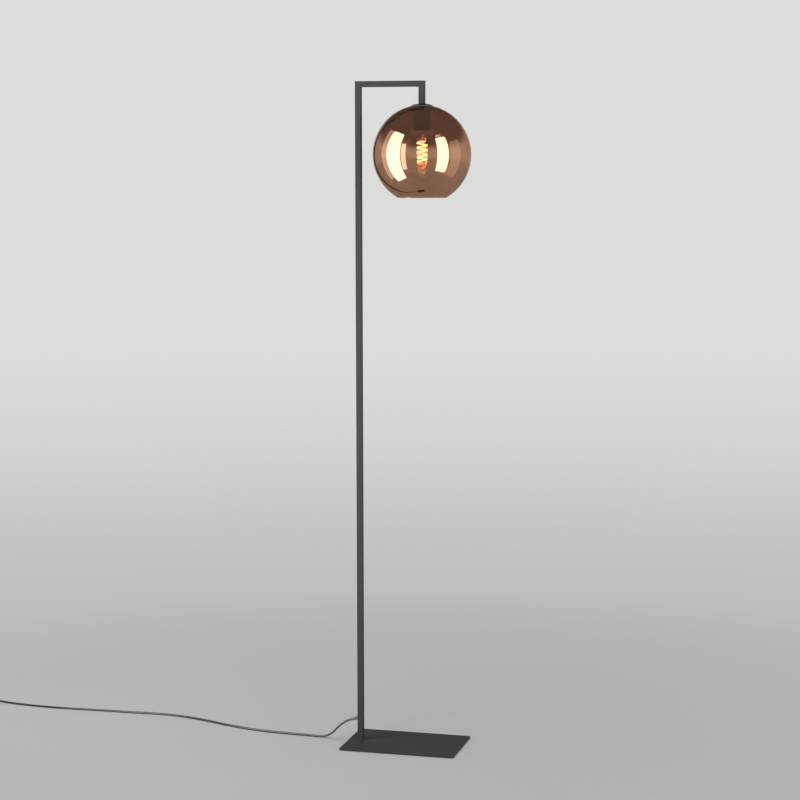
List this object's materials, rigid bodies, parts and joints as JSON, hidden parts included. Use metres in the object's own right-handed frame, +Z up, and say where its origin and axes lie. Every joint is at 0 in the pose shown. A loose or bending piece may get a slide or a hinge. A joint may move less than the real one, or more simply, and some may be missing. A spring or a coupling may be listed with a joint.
{
  "type": "globe floor lamp",
  "caption": "Slender square-tube floor lamp: an upright on a flat rectangular base carries a short arm with a hanging copper-mirrored glass globe open below.",
  "frame": {"origin": "on the floor, midway along and across the lamp without its free cord", "axes": "+Z up, +X along the arm from the upright to the globe, +Y across the lamp, away from the camera"},
  "size_m": [1.4434, 0.234, 1.5],
  "materials": {
    "frame_coat": "matt black powder coat",
    "pad_felt": "matt",
    "screw_steel": "zinc plated",
    "foot_steel": "bare",
    "relief_plastic": "satin, light grey",
    "cord_sheath": "glossy black",
    "lead_sheath": "satin",
    "core_brown": "gloss",
    "core_blue": "gloss",
    "nipple_zinc": "yellow passivated",
    "cap_coat": "satin black",
    "seal_clear": "matt",
    "shade_glass": "copper mirror coat, half clear",
    "holder_plastic": "gloss black",
    "holder_ceramic": "unglazed",
    "contact_brass": "bare",
    "bulb_metal": "bright",
    "tip_solder": "dull solder",
    "insulator_glass": "gloss black",
    "bulb_clear": "clear",
    "stem_clear": "clear",
    "driver_board": "green board",
    "filament_lit": "glowing",
    "wire_nickel": "nickel wire",
    "tie_plastic": "satin",
    "switch_plastic": "satin black",
    "button_plastic": "gloss black",
    "block_plastic": "satin",
    "spring_steel": "spring steel",
    "bush_rubber": "matt",
    "plug_plastic": "satin black",
    "pin_nickel": "nickel plated"
  },
  "bodies": {
    "frame": {"base_plate": "frame_coat", "base_pads": "pad_felt", "base_screw": "screw_steel", "foot_block": "foot_steel", "pole_tube": "frame_coat", "arm_tube": "frame_coat", "drop_tube": "frame_coat", "drop_plug": "foot_steel", "strain_relief": "relief_plastic", "inner_lead": "lead_sheath", "core_live": "core_brown", "core_neutral": "core_blue", "nipple": "nipple_zinc", "shade_cap": "cap_coat", "cap_seal": "seal_clear", "glass_shade": "shade_glass", "ring_seal": "seal_clear", "shade_ring": "holder_plastic", "holder_cap": "holder_plastic", "holder_shell": "holder_plastic", "holder_core": "holder_ceramic", "holder_sleeve": "contact_brass", "centre_contact": "contact_brass", "holder_rivets": "contact_brass", "holder_terminals": "contact_brass", "holder_terminal_screws": "screw_steel", "cord_to_switch": "cord_sheath", "cord_to_coil": "cord_sheath", "cord_coil": "cord_sheath", "cord_tie": "tie_plastic", "cord_to_plug": "cord_sheath", "switch_base": "switch_plastic", "switch_cover": "switch_plastic", "switch_block": "block_plastic", "switch_spring": "spring_steel", "switch_terminals": "contact_brass", "switch_bushes": "bush_rubber", "switch_screws": "screw_steel", "plug_body": "plug_plastic", "plug_pins": "pin_nickel"},
    "switch_button": {"switch_button": "button_plastic"},
    "bulb_carrier": {"bulb_tip": "tip_solder"},
    "bulb": {"bulb_insulator": "insulator_glass", "bulb_cap": "bulb_metal", "bulb_glass": "bulb_clear", "bulb_stem": "stem_clear", "bulb_driver": "driver_board", "bulb_filament": "filament_lit", "bulb_wires": "wire_nickel"}
  },
  "joints": [
    {"name": "switch_press", "type": "slide", "parent": "frame", "child": "switch_button", "axis": [0, 0, -1], "range_m": [0, 0.003], "stiffness_N_per_m": 600, "springref_m": -0.002, "deforming": ["switch_spring"]},
    {"name": "bulb_travel", "type": "slide", "parent": "frame", "child": "bulb_carrier", "axis": [0, 0, -1], "range_m": [0, 0.0201]},
    {"name": "bulb_turn", "type": "hinge", "parent": "bulb_carrier", "child": "bulb", "pos_m": [0.03175, 0, 1.40447], "axis": [0, 0, -1], "range_deg": [0, 1980]}
  ],
  "couplings": [
    {"joint": "bulb_travel", "follows": "bulb_turn", "m_per_rad": 0.00057757}
  ]
}
